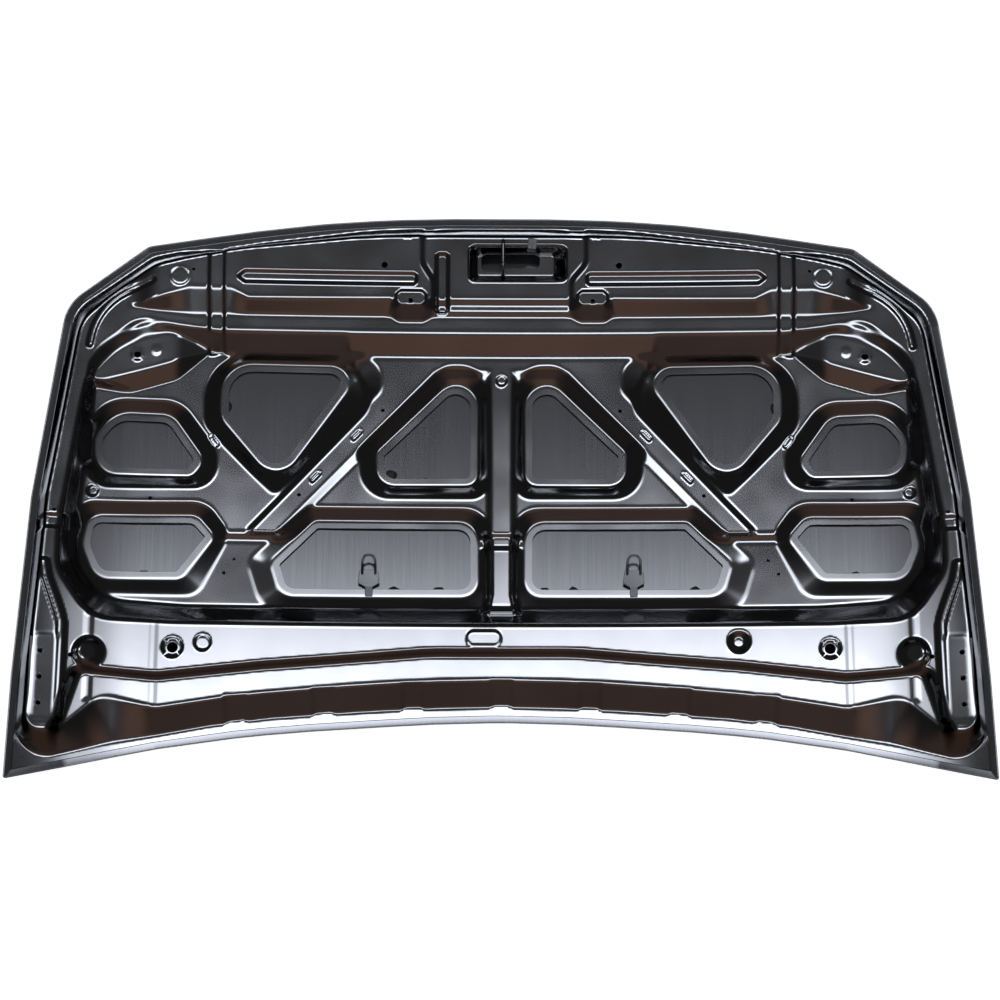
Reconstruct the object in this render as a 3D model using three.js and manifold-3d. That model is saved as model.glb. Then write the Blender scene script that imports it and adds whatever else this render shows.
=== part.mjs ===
// A steel car bonnet, lying on its outer skin with the engine side up.
// Millimetres, +Z up, front edge of the car toward +Y, rear edge toward -Y.
// Heights called levels are measured straight up from the outer face of the skin.

import * as THREE from 'three';
import { mergeVertices } from 'three/addons/utils/BufferGeometryUtils.js';
import Module from 'manifold-3d';

const wasm = await Module();
wasm.setup();

// Sheets and clearances
const SKIN = 0.8;
const INNER_SHEET = 0.8;
const PLATE = 2;
const CLEARANCE = 0.3;
const HEM_WIDTH = 12;
const CUT_FLANGE = 13;

// Crown of the skin: radii across and along, with a tighter bend outside the side creases
const CROWN_RADIUS_X = 6500;
const CROWN_RADIUS_Y = 4500;
const CROWN_CENTRE_Y = 20;
const CREASE_X = 530;
const CREASE_RADIUS = 1000;

// Levels of the inner panel's upper face
const HEM_SEAT = SKIN + CLEARANCE + INNER_SHEET;
const FLANGE = 7;
const WEB_LOW = 14;
const WEB = 21;
const RIB = 26;
const REAR_STRIP = 32;
const RING = 46;
const BEAM = 62;
const POCKET_FLOOR = 34;

// Edges of the whole bonnet
const HALF_WIDTH = 741;
const FRONT_Y = 454;
const REAR_CENTRE_Y = -355;
const EDGE_RADIUS = 2850;
const SIDE_RADIUS = 3900;

// Latch loop, hinge seats and small holes
const LATCH_WIRE = 6;
const HINGE_SEAT_X = 690;
const HINGE_SEAT_Y = -300;
const HINGE_SEAT_WIDTH = 36;
const HINGE_SEAT_LENGTH = 126;
const HINGE_SEAT_RISE = 2.5;
const HINGE_BOLT_PITCH = 40;
const HINGE_BOLT_HOLE = 9;
const NUT_WIDTH = 13;
const NUT_HEIGHT = 6.5;
const MASTIC_RADIUS = 9;
const CHORD_ERROR = 2.4;
const NUT_BORE = 8;
const LATCH_RECESS = 4;
const STRIKER_X = 2;
const STRIKER_REAR_Y = 352;
const STRIKER_FRONT_Y = 398;
const STRIKER_RISE = 12;
const TAB_X = 47;
const TAB_Y = 388;
const TAB_WIDTH = 14;
const TAB_SEAT = 16;
const TAB_DROP = 14;
const TAB_LIFT = 2;
const BRACKET_X = 204;
const BRACKET_Y = -147;
const BRACKET_WIDTH = 34;
const BRACKET_SHEET = 2;
const BRACKET_LIFT = 12;
const BRACKET_WIRE = 4;

// Blocks that cut right through reach this far, half of it below the skin's lowest point
const TALL = 500;
// How far a sloping wall is carried on past its foot and its brow, as shares of its height
const PAST_FOOT = 0.08;
const PAST_BROW = 0.1;
const PAST_RING_BROW = 0.4;

// The crowned layers are faceted coarsely inside the side creases and finely outside them
const GRID_LENGTH = 960;
const GRID_ROWS = 5;
const INNER_COLUMNS = 7;
const SIDE_COLUMNS = 3;
const SIDE_COLUMN_WIDTH = 84;

const primer = { color: 0x24262a, roughness: 0.32, metalness: 0.75 };
const plated = { color: 0x4a4a4c, roughness: 0.4, metalness: 0.85 };
const mastic = { color: 0x0c0c0d, roughness: 0.8, metalness: 0 };

// The outer face of the skin: height above its lowest point at a place in plan.
function crown(x, y) {
  const past = Math.max(0, Math.abs(x) - CREASE_X);
  const across = (x * x) / (2 * CROWN_RADIUS_X) + (past * past) / (2 * CREASE_RADIUS);
  return across + (y - CROWN_CENTRE_Y) ** 2 / (2 * CROWN_RADIUS_Y);
}

// A closed mesh made ready for cutting and joining.
function toSolid(geometry) {
  geometry.deleteAttribute('normal');
  geometry.deleteAttribute('uv');
  const merged = mergeVertices(geometry, 1e-4);
  return new wasm.Manifold(new wasm.Mesh({
    numProp: 3,
    vertProperties: Float32Array.from(merged.attributes.position.array),
    triVerts: Uint32Array.from(merged.index.array),
  }));
}

function toGeometry(solid) {
  const mesh = solid.getMesh();
  const geometry = new THREE.BufferGeometry();
  geometry.setAttribute('position', new THREE.BufferAttribute(mesh.vertProperties, 3));
  geometry.setIndex(new THREE.BufferAttribute(mesh.triVerts, 1));
  geometry.computeVertexNormals();
  return geometry;
}

// Steps round a fillet so that no chord strays from its arc by more than CHORD_ERROR.
function arcSteps(radius, turn) {
  if (radius <= CHORD_ERROR) return 1;
  return Math.max(1, Math.ceil(turn / (2 * Math.acos(1 - CHORD_ERROR / radius))));
}

// The corners [x, y, radius] of an outline moved outward by a distance, or inward by a
// negative one. Fillets on outer corners widen as the outline grows, and inner ones tighten.
function grow(corners, distance) {
  const at = corners.map(([x, y]) => new THREE.Vector2(x, y));
  const winding = Math.sign(THREE.ShapeUtils.area(at));
  return corners.map(([x, y, radius], i) => {
    const a = at[i].clone().sub(at[(i + at.length - 1) % at.length]).normalize();
    const b = at[(i + 1) % at.length].clone().sub(at[i]).normalize();
    const normal = new THREE.Vector2(a.y + b.y, -a.x - b.x).normalize();
    const along = (normal.x * a.y - normal.y * a.x) * winding;
    const convex = a.cross(b) * winding > 0;
    const fillet = radius > 0 ? Math.max(0.3, radius + (convex ? distance : -distance)) : 0;
    return [x + (normal.x * distance) / along, y + (normal.y * distance) / along, fillet];
  });
}

// A closed outline of straight edges with filleted corners. Two fillets that meet on a short
// edge share it. Outlines that belong together take their steps from the same lists.
function rounded(corners, alike = [corners]) {
  const count = corners.length;
  const edgesOf = (list) => list.map(([x, y], i) => {
    const [nextX, nextY] = list[(i + 1) % count];
    return new THREE.Vector2(nextX - x, nextY - y);
  });
  const turnAt = (edges, i) => edges[(i + count - 1) % count].angleTo(edges[i]);
  const edges = edgesOf(corners);
  const reach = corners.map(([, , radius], i) => radius * Math.tan(turnAt(edges, i) / 2));
  const room = edges.map((e, i) => {
    const wanted = reach[i] + reach[(i + 1) % count];
    return wanted > 0.98 * e.length() ? (0.98 * e.length()) / wanted : 1;
  });
  const points = [];
  corners.forEach(([x, y, radius], i) => {
    const before = edges[(i + count - 1) % count].clone().normalize();
    const share = Math.min(room[i], room[(i + count - 1) % count]);
    const steps = Math.max(...alike.map((list) => (
      list[i][2] > 0 ? arcSteps(list[i][2], turnAt(edgesOf(list), i)) : 0)));
    const side = Math.sign(before.cross(edges[i])) || 1;
    const start = new THREE.Vector2(x, y).addScaledVector(before, -reach[i] * share);
    const spoke = new THREE.Vector2(side * before.y, -side * before.x);
    spoke.multiplyScalar(radius * share);
    for (let k = 0; k <= steps; k += 1) {
      const swing = steps ? (side * turnAt(edges, i) * k) / steps : 0;
      const turned = spoke.clone().rotateAround(new THREE.Vector2(), swing);
      points.push(start.clone().sub(spoke).add(turned));
    }
  });
  return THREE.ShapeUtils.area(points) < 0 ? points.reverse() : points;
}

function mirror(corners) {
  return corners.map(([x, y, radius]) => [-x, y, radius]).reverse();
}

// A whole outline from its right half, given from front to rear. An edge that crosses the
// centre line as an arc has a corner there.
function symmetric(side, frontArc = [], rearArc = []) {
  return [...frontArc, ...side, ...rearArc, ...mirror(side)];
}

function rectangle(x0, y0, x1, y1, radius) {
  return [[x0, y0, radius], [x1, y0, radius], [x1, y1, radius], [x0, y1, radius]];
}

function circle(x, y, radius) {
  const r = radius * 0.999;
  return [[x - radius, y - radius, r], [x + radius, y - radius, r],
    [x + radius, y + radius, r], [x - radius, y + radius, r]];
}

// A tall upright block over an outline, grown or shrunk by a distance.
function prism(corners, distance = 0) {
  const points = rounded(grow(corners, distance), [corners]);
  const geometry = new THREE.ExtrudeGeometry(new THREE.Shape(points), {
    depth: TALL,
    bevelEnabled: false,
  });
  geometry.translate(0, 0, -TALL / 2);
  return toSolid(geometry);
}

// A slab that follows the crown, between two levels that are numbers or functions of the place.
function layer(top, bottom) {
  const columns = INNER_COLUMNS + 2 * SIDE_COLUMNS;
  const geometry = new THREE.BoxGeometry(columns, GRID_LENGTH, 2, columns, GRID_ROWS, 1);
  const position = geometry.attributes.position;
  for (let i = 0; i < position.count; i += 1) {
    const column = position.getX(i);
    const inner = THREE.MathUtils.clamp(column, -INNER_COLUMNS / 2, INNER_COLUMNS / 2);
    const x = (inner * 2 * CREASE_X) / INNER_COLUMNS + (column - inner) * SIDE_COLUMN_WIDTH;
    const y = position.getY(i);
    const level = position.getZ(i) > 0 ? top : bottom;
    position.setX(i, x);
    position.setZ(i, crown(x, y) + (typeof level === 'function' ? level(x, y) : level));
  }
  return toSolid(geometry);
}

// A block whose sloping wall runs from a foot outline to a brow outline.
// The slope is carried on past both, and then straight down and up.
function slopedBlock(foot, brow, footLevel, browLevel, sink, spread, past = PAST_BROW) {
  const low = rounded(grow(foot, spread), [foot, brow]);
  const high = rounded(grow(brow, spread), [foot, brow]);
  const at = (k, share) => new THREE.Vector2().lerpVectors(low[k], high[k], share);
  const levelAt = (share) => footLevel + (browLevel - footLevel) * share - sink;
  const count = low.length;
  const vertices = [];
  const rings = [[-PAST_FOOT, -TALL / 2], [-PAST_FOOT, null], [1 + past, null], [1 + past, TALL / 2]];
  rings.forEach(([share, flat]) => {
    for (let k = 0; k < count; k += 1) {
      const p = at(k, share);
      vertices.push(p.x, p.y, flat === null ? crown(p.x, p.y) + levelAt(share) : flat);
    }
  });
  const index = [];
  for (let ring = 0; ring < rings.length - 1; ring += 1) {
    for (let k = 0; k < count; k += 1) {
      const a = ring * count + k;
      const b = ring * count + ((k + 1) % count);
      index.push(a, b, b + count, a, b + count, a + count);
    }
  }
  const bottomFaces = THREE.ShapeUtils.triangulateShape(low.map((p, k) => at(k, -PAST_FOOT)), []);
  bottomFaces.forEach(([a, b, c]) => index.push(a, c, b));
  const last = (rings.length - 1) * count;
  const topFaces = THREE.ShapeUtils.triangulateShape(low.map((p, k) => at(k, 1 + past)), []);
  topFaces.forEach(([a, b, c]) => index.push(last + a, last + b, last + c));
  const geometry = new THREE.BufferGeometry();
  geometry.setAttribute('position', new THREE.Float32BufferAttribute(vertices, 3));
  geometry.setIndex(index);
  return toSolid(geometry);
}

// Where an arc of EDGE_RADIUS over the centre line has its sharp corner.
function arcCorner(centreY, halfSpan) {
  const slope = halfSpan / Math.sqrt(EDGE_RADIUS ** 2 - halfSpan ** 2);
  const endY = centreY - EDGE_RADIUS + Math.sqrt(EDGE_RADIUS ** 2 - halfSpan ** 2);
  return [0, endY + halfSpan * slope, EDGE_RADIUS];
}

const OUTER_EDGE = symmetric(
  [[556, FRONT_Y - 55, 25], [678, 300, 80], [732, -11, SIDE_RADIUS], [HALF_WIDTH, -454, 5]],
  [arcCorner(FRONT_Y, 556)],
  [arcCorner(REAR_CENTRE_Y, HALF_WIDTH)],
);

// The raised ring round the panel: front beam, side rails and rear strip in one
const RING_FOOT = symmetric(
  [[549, 382, 30], [663, 290, 70], [717, -15, SIDE_RADIUS], [718, -424, 45],
    [668, -411, 60], [602, -394, 60], [521, -378, 60]],
  [arcCorner(437, 549)],
  [arcCorner(-330, 521)],
);
const RING_BROW = symmetric(
  [[546, 360, 55], [650, 272, 80], [704, -15, SIDE_RADIUS], [709, -380, 25],
    [664, -378, 25], [602, -314, 40], [521, -332, 30]],
  [arcCorner(415, 546)],
  [arcCorner(-283, 521)],
);

// The well inside the ring
const WELL_FOOT = symmetric([
  [445, 222, 80], [545, 240, 40], [618, 190, 50], [632, 95, 300],
  [650, -50, 150], [648, -120, 60], [600, -172, 60], [490, -179, 200],
]);
const WELL_BROW = symmetric([
  [470, 255, 120], [562, 270, 40], [632, 212, 60], [650, 100, 300],
  [672, -60, 150], [672, -130, 60], [622, -205, 60], [500, -209, 200],
]);

// The beam's top stands higher than the ring, with a tab at each side of the latch,
// and its rear step fades out toward the corners.
const BEAM_FOOT = symmetric([
  [760, 520, 0], [760, 288, 0], [556, 287, 10], [478, 277, 10], [440, 278, 10],
  [393, 279, 10], [172, 279, 6], [160, 271, 6], [124, 271, 6], [110, 279, 6],
]);
const BEAM_BROW = symmetric([
  [760, 520, 0], [760, 290, 0], [556, 290, 10], [484, 318, 10], [420, 318, 10],
  [394, 303, 10], [172, 306, 6], [160, 292, 6], [122, 292, 6], [110, 306, 6],
]);
const BEAM_FADE_START = 470;
const BEAM_FADE_END = 575;

// The raised A-shaped rib: a top plateau, two diagonal arms and the centre mullion
const A_RIB_FOOT = symmetric([
  [246, 262, 5], [244, 222, 20], [206, 148, 40], [400, -64, 5], [346, -64, 5],
  [104, 192, 10], [18, 192, 5], [18, -190, 0],
]);
const A_RIB_BROW = symmetric([
  [236, 262, 5], [234, 222, 20], [196, 146, 40], [388, -64, 5], [350, -64, 5],
  [102, 196, 10], [13, 196, 5], [13, -190, 0],
]);

// Lower end of the web: the outboard plateaus step down behind this line
const WEB_STEP_BROW = rectangle(-700, -62, 700, 300, 0);
const WEB_STEP_FOOT = rectangle(-700, -74, 700, 300, 0);

// The rear strip's lower half, behind its curved step
const STRIP_FOOT = symmetric([
  [110, -264, 300], [365, -286, 300], [464, -298, 60], [520, -305, 60],
  [634, -296, 15], [664, -390, 0], [665, -520, 0],
]);
const STRIP_BROW = symmetric([
  [110, -248, 300], [365, -270, 300], [464, -282, 60], [520, -289, 60],
  [646, -280, 20], [678, -390, 0], [679, -520, 0],
]);

// The five cut-outs of the right half, each with the foot and the brow of its sloping wall
const pockets = [
  {
    foot: [[438, 214, 50], [210, 213, 32], [348, 15, 38], [439, 124, 38]],
    brow: [[456, 228, 60], [172, 229, 58], [341, -22, 30], [466, 118, 45]],
    level: RIB,
  },
  {
    foot: [[70, 197, 38], [35, 158, 38], [35, 18, 22], [195, 17, 30], [196, 73, 18]],
    brow: [[69, 217, 45], [22, 172, 40], [22, -4, 26], [214, -4, 45], [218, 60, 25]],
    level: RIB,
  },
  {
    foot: [[290, -37, 20], [35, -37, 34], [34, -159, 30], [340, -160, 30], [357, -105, 18]],
    brow: [[295, -20, 16], [21, -20, 34], [21, -182, 30], [368, -182, 40], [392, -105, 25]],
    level: RIB,
  },
  {
    foot: [[600, 130, 50], [512, 128, 35], [460, 55, 22], [480, 27, 18], [630, 27, 38], [632, 88, 38]],
    brow: [[612, 147, 60], [498, 147, 50], [440, 70, 40], [440, 10, 35], [640, 6, 38], [644, 90, 40]],
    level: WEB,
  },
  {
    foot: [[637, -35, 28], [470, -32, 28], [440, -66, 15], [492, -136, 20], [622, -138, 35], [645, -85, 35]],
    brow: [[652, -18, 36], [454, -14, 40], [418, -64, 30], [464, -160, 30], [634, -160, 50], [658, -88, 42]],
    level: WEB,
  },
];

// The headlamp clearance bump in each front corner of the well
const BUMP_TOP = [[620, 180, 6], [590, 218, 40], [520, 242, 10], [512, 204, 12]];
const BUMP_FOOT = [[640, 156, 8], [610, 250, 40], [440, 250, 20], [508, 134, 30]];
const BUMP_LEVEL = 38;

const LATCH_POCKET_BROW = rectangle(-51, 335, 102, 391, 8);
const LATCH_POCKET_FOOT = rectangle(-40, 348, 84, 386, 6);
const LATCH_PLATE = rectangle(-70, 326, 114, 402, 8);
const LATCH_WINDOW = rectangle(-32, 357, 60, 384, 9);

// The web and its walls before the small swages, lowered everywhere by a distance.
function mainForm(sink) {
  const ease = 0.4 * sink;
  const raised = (foot, brow, footLevel, browLevel, past) => (
    slopedBlock(foot, brow, footLevel, browLevel, sink, -ease, past));
  const sunk = (foot, brow, footLevel, browLevel) => (
    slopedBlock(foot, brow, footLevel, browLevel, sink, ease));
  const base = (level) => layer(typeof level === 'function'
    ? (x, y) => level(x, y) - sink : level - sink, -70 - sink);

  const beamLevel = (x) => RING + (BEAM - RING)
    * (1 - THREE.MathUtils.smoothstep(Math.abs(x), BEAM_FADE_START, BEAM_FADE_END));
  const ringBlock = raised(RING_FOOT, RING_BROW, HEM_SEAT, RING, PAST_RING_BROW);
  const beam = base(beamLevel).intersect(raised(BEAM_FOOT, BEAM_BROW, RING, BEAM));
  const stripCut = sunk(STRIP_FOOT, STRIP_BROW, REAR_STRIP, RING).subtract(base(REAR_STRIP));
  const well = sunk(WELL_FOOT, WELL_BROW, WEB, RING);
  const ring = base(RING).add(beam).subtract(well).subtract(stripCut);

  const web = base(WEB).intersect(raised(WEB_STEP_FOOT, WEB_STEP_BROW, WEB_LOW, WEB));
  const ribs = base(RIB).intersect(raised(A_RIB_FOOT, A_RIB_BROW, WEB, RIB));
  let form = ring.add(base(WEB_LOW)).add(web).add(ribs);
  [(list) => list, mirror].forEach((side) => {
    const bump = raised(side(BUMP_FOOT), side(BUMP_TOP), WEB, BUMP_LEVEL);
    form = form.add(base(BUMP_LEVEL).intersect(bump));
  });
  [(list) => list, mirror].forEach((side) => {
    pockets.forEach(({ foot, brow, level }) => {
      form = form.subtract(sunk(side(foot), side(brow), FLANGE, level));
    });
  });
  form = form.add(base(FLANGE)).intersect(ringBlock);
  const floor = POCKET_FLOOR + LATCH_RECESS;
  const latch = sunk(LATCH_POCKET_FOOT, LATCH_POCKET_BROW, floor, BEAM);
  return form.subtract(latch.subtract(base(floor)));
}

// Swages pressed into the main form: an outline and how far it is sunk or, if negative, raised
const BEAM_BEAD = [[133, 328, 6], [400, 328, 4], [411, 336, 2], [400, 345, 4], [133, 345, 6]];
const bothSides = [
  { outline: rectangle(432, 222, 455, 430, 0), depth: 3 },
  { outline: BEAM_BEAD, depth: 4 },
  { outline: rectangle(655, -362, 668, -216, 6), depth: -3.5 },
  { outline: circle(620, -260, 17), depth: -14 },
  { outline: rectangle(387, -480, 417, -322, 0), depth: 5 },
  { outline: rectangle(255, -480, 285, -310, 0), depth: 5 },
  { outline: rectangle(120, -480, 150, -302, 0), depth: 5 },
];
const oneSide = [
  { outline: rectangle(-120, 305, 138, 470, 18), depth: LATCH_RECESS },
  { outline: rectangle(-103, 262, -82, 378, 5), depth: 8 },
  { outline: rectangle(-30, -84, 30, -64, 4), depth: 4 },
  { outline: rectangle(-15, -480, 15, -300, 0), depth: 5 },
  { outline: circle(360, -237, 18), depth: 7 },
];
const swages = [
  ...bothSides,
  ...bothSides.map(({ outline, depth }) => ({ outline: mirror(outline), depth })),
  ...oneSide,
];

// A frame lying on a crowned level at a place, its own Z square to the surface there.
function frameOn(x, y, level) {
  const past = Math.sign(x) * Math.max(0, Math.abs(x) - CREASE_X);
  const slopeX = x / CROWN_RADIUS_X + past / CREASE_RADIUS;
  const slopeY = (y - CROWN_CENTRE_Y) / CROWN_RADIUS_Y;
  const up = new THREE.Vector3(-slopeX, -slopeY, 1).normalize();
  const frame = new THREE.Group();
  frame.quaternion.setFromUnitVectors(new THREE.Vector3(0, 0, 1), up);
  frame.position.set(x, y, crown(x, y) + level);
  frame.updateMatrixWorld(true);
  return frame;
}

// The frame of a hinge seat, with its origin in the middle of the seat's flat face.
function hingeFrame(side) {
  const frame = frameOn(side * HINGE_SEAT_X, HINGE_SEAT_Y, RING);
  frame.translateZ(HINGE_SEAT_RISE);
  frame.updateMatrixWorld(true);
  return frame;
}

function hingeSeat(side, sink) {
  const block = new THREE.BoxGeometry(HINGE_SEAT_WIDTH - sink, HINGE_SEAT_LENGTH - sink, 24);
  block.translate(0, 0, -12 - sink);
  block.applyMatrix4(hingeFrame(side).matrixWorld);
  return toSolid(block);
}

const forms = new Map();
function formAt(sink) {
  const key = sink.toFixed(3);
  if (!forms.has(key)) forms.set(key, mainForm(sink));
  return forms.get(key);
}

// The pressing's upper face as a solid, lowered by a distance, with swages and hinge seats.
function pressing(sink) {
  let form = formAt(sink);
  swages.forEach(({ outline, depth }) => {
    const moved = formAt(sink + depth);
    const region = prism(outline, depth > 0 ? sink : -sink);
    form = depth > 0 ? form.subtract(region.subtract(moved)) : form.add(region.intersect(moved));
  });
  form = form.add(layer(HEM_SEAT - sink, -70 - sink));
  [-1, 1].forEach((side) => {
    form = form.add(hingeSeat(side, sink));
  });
  return form;
}

// Round holes of the inner panel in its right half: place and radius
const holes = [
  [183, 358, 5], [142, 301, 3.5], [565, 214, 5.5], [497, -249, 8.5],
];
// Where dabs of sealing compound show at the edges of the cut-outs
const masticPlaces = [
  [-430, 144], [430, 144], [-172, 36], [-118, 24], [-120, -42], [-166, -150], [-96, -150],
  [-548, -130], [272, 112], [240, 76], [66, -150], [112, -150], [298, -150], [546, -130],
];
// Drain slots on the diagonal arms: place and heading
const drainSlots = [[225, 93, -0.82], [288, 27, -0.82], [445, 83, 0.95]];
const DRAIN_LENGTH = 21;
const DRAIN_WIDTH = 7;
const HINGE_BOLTS = [-1, 0, 1];

// A hinge bolt's hole along the frame of its hinge seat, a distance along the seat.
function boltHole(along) {
  const hole = new THREE.CylinderGeometry(HINGE_BOLT_HOLE / 2, HINGE_BOLT_HOLE / 2, 50, 8);
  hole.rotateX(Math.PI / 2);
  hole.translate(0, along, 0);
  return hole;
}

function innerPanel() {
  const blank = prism(OUTER_EDGE, -(SKIN + CLEARANCE));
  let panel = pressing(0).intersect(blank).subtract(pressing(INNER_SHEET));
  [1, -1].forEach((side) => {
    const place = (corners) => (side > 0 ? corners : mirror(corners));
    pockets.forEach(({ foot }) => {
      panel = panel.subtract(prism(place(foot), -CUT_FLANGE));
    });
    holes.forEach(([x, y, radius]) => {
      panel = panel.subtract(prism(circle(side * x, y, radius)));
    });
    drainSlots.forEach(([x, y, heading]) => {
      const slot = new THREE.BoxGeometry(DRAIN_LENGTH, DRAIN_WIDTH, TALL);
      slot.rotateZ(side * heading);
      slot.translate(side * x, y, 0);
      panel = panel.subtract(toSolid(slot));
    });
    HINGE_BOLTS.forEach((step) => {
      const bolt = boltHole(step * HINGE_BOLT_PITCH);
      bolt.applyMatrix4(hingeFrame(side).matrixWorld);
      panel = panel.subtract(toSolid(bolt));
    });
  });
  return panel.subtract(prism(LATCH_WINDOW));
}

// The skin with its edge folded over the inner panel.
function outerPanel() {
  const hemTop = HEM_SEAT + CLEARANCE + SKIN;
  const whole = layer(hemTop, 0).intersect(prism(OUTER_EDGE));
  const fold = layer(HEM_SEAT + CLEARANCE, SKIN).intersect(prism(OUTER_EDGE, -SKIN));
  const open = prism(OUTER_EDGE, -HEM_WIDTH).subtract(layer(SKIN, -90));
  return whole.subtract(fold).subtract(open);
}

// A piece cut to lie on a crowned level with the usual clearance.
function seated(solid, level) {
  return solid.subtract(layer(level + CLEARANCE, -TALL / 4));
}

// The plate welded under the floor of the latch pocket.
function latchReinforcement() {
  const top = POCKET_FLOOR - INNER_SHEET - CLEARANCE;
  const plate = layer(top, top - PLATE).intersect(prism(LATCH_PLATE));
  return plate.subtract(prism(LATCH_WINDOW, 2));
}

// Sweeps a round section along a path.
function wire(path, diameter, steps) {
  const section = new THREE.Shape();
  section.absarc(0, 0, diameter / 2, 0, 2 * Math.PI, false);
  const geometry = new THREE.ExtrudeGeometry(section, {
    steps,
    curveSegments: 8,
    bevelEnabled: false,
    extrudePath: path,
  });
  return toSolid(geometry);
}

// The closing loop that the bonnet lock grips: a wire bridge over the window of the pocket.
function strikerLoop() {
  const height = crown(STRIKER_X, STRIKER_REAR_Y) + BEAM + STRIKER_RISE;
  const point = (y, z) => new THREE.Vector3(STRIKER_X, y, z);
  const path = new THREE.CurvePath();
  const bend = 2.5 * LATCH_WIRE;
  path.add(new THREE.LineCurve3(point(STRIKER_REAR_Y, 30), point(STRIKER_REAR_Y, height - bend)));
  path.add(new THREE.QuadraticBezierCurve3(
    point(STRIKER_REAR_Y, height - bend),
    point(STRIKER_REAR_Y, height),
    point(STRIKER_REAR_Y + bend, height),
  ));
  path.add(new THREE.LineCurve3(
    point(STRIKER_REAR_Y + bend, height),
    point(STRIKER_FRONT_Y - bend, height),
  ));
  path.add(new THREE.QuadraticBezierCurve3(
    point(STRIKER_FRONT_Y - bend, height),
    point(STRIKER_FRONT_Y, height),
    point(STRIKER_FRONT_Y, height - bend),
  ));
  path.add(new THREE.LineCurve3(
    point(STRIKER_FRONT_Y, height - bend),
    point(STRIKER_FRONT_Y, crown(0, STRIKER_FRONT_Y) + BEAM - 2 * LATCH_RECESS),
  ));
  const loop = wire(path, LATCH_WIRE, 30);
  const front = prism(rectangle(STRIKER_X - 20, 391, STRIKER_X + 20, 460, 0));
  const aboveFront = seated(loop.intersect(front), BEAM - LATCH_RECESS);
  return seated(loop.subtract(front), POCKET_FLOOR).add(aboveFront);
}

// The safety catch's stop: a bent tab beside the closing loop, hanging into the pocket.
function catchTab() {
  const profile = new THREE.Shape();
  profile.moveTo(0, -PLATE);
  profile.lineTo(TAB_SEAT, -PLATE);
  profile.lineTo(TAB_SEAT, PLATE);
  profile.lineTo(-PLATE, PLATE);
  profile.lineTo(-2 * PLATE, PLATE / 2);
  profile.lineTo(-2 * PLATE, -TAB_DROP);
  profile.lineTo(-PLATE, -TAB_DROP);
  profile.lineTo(-PLATE, 0);
  profile.lineTo(0, 0);
  const geometry = new THREE.ExtrudeGeometry(profile, { depth: TAB_WIDTH, bevelEnabled: false });
  geometry.rotateX(Math.PI / 2);
  geometry.rotateZ(Math.PI / 2);
  geometry.translate(-TAB_WIDTH / 2, 0, 0);
  geometry.applyMatrix4(frameOn(TAB_X, TAB_Y, BEAM - LATCH_RECESS + TAB_LIFT).matrixWorld);
  const tab = toSolid(geometry);
  const front = prism(rectangle(TAB_X - 20, TAB_Y - 1, TAB_X + 20, TAB_Y + 40, 0));
  return tab.subtract(front).add(seated(tab.intersect(front), BEAM - LATCH_RECESS));
}

// A hose bracket on the rear flange of a lower cut-out: a tongue on the flange, a flared
// plate that rises over the opening and a wire arch at its end.
function hoseBracket(side) {
  const x = side * BRACKET_X;
  const ground = crown(BRACKET_X, BRACKET_Y) + FLANGE;
  const halfFlare = BRACKET_WIDTH / 2;
  const plan = [
    [x - 6, BRACKET_Y - 11, 2], [x + 6, BRACKET_Y - 11, 2], [x + 6, BRACKET_Y + 4, 0],
    [x + halfFlare, BRACKET_Y + 10, 0], [x + halfFlare - 4, BRACKET_Y + 30, 4],
    [x - halfFlare + 4, BRACKET_Y + 30, 4], [x - halfFlare, BRACKET_Y + 10, 0],
    [x - 6, BRACKET_Y + 4, 0],
  ];
  const rise = new THREE.Shape();
  rise.moveTo(BRACKET_Y - 30, ground - 20);
  rise.lineTo(BRACKET_Y - 30, ground + BRACKET_SHEET);
  rise.lineTo(BRACKET_Y + 4, ground + BRACKET_SHEET);
  rise.lineTo(BRACKET_Y + 40, ground + BRACKET_SHEET + BRACKET_LIFT);
  rise.lineTo(BRACKET_Y + 40, ground + BRACKET_LIFT);
  rise.lineTo(BRACKET_Y + 5, ground);
  rise.lineTo(BRACKET_Y + 5, ground - 20);
  const slab = new THREE.ExtrudeGeometry(rise, { depth: 80, bevelEnabled: false });
  slab.rotateX(Math.PI / 2);
  slab.rotateZ(Math.PI / 2);
  slab.translate(x - 40, 0, 0);
  const plate = toSolid(slab).intersect(prism(plan));
  const arch = new THREE.CurvePath();
  const at = (dx, dy) => new THREE.Vector3(
    x + dx, BRACKET_Y + dy, ground + ((dy - 4) * BRACKET_LIFT) / 36 + BRACKET_SHEET / 2);
  const half = halfFlare - 7;
  arch.add(new THREE.LineCurve3(at(-half, 24), at(-half, 40)));
  arch.add(new THREE.CubicBezierCurve3(at(-half, 40), at(-half, 53), at(half, 53), at(half, 40)));
  arch.add(new THREE.LineCurve3(at(half, 40), at(half, 24)));
  const foot = plate.subtract(layer(FLANGE + CLEARANCE, -TALL / 4));
  return foot.add(wire(arch, BRACKET_WIRE, 18));
}

// The plate behind each hinge seat, with a weld nut for each bolt.
function hingePlate() {
  const plate = new THREE.BoxGeometry(HINGE_SEAT_WIDTH - 4, HINGE_SEAT_LENGTH - 4, PLATE);
  plate.translate(0, 0, -INNER_SHEET - CLEARANCE - PLATE / 2);
  return HINGE_BOLTS.reduce(
    (solid, step) => solid.subtract(toSolid(boltHole(step * HINGE_BOLT_PITCH))),
    toSolid(plate),
  );
}

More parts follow.
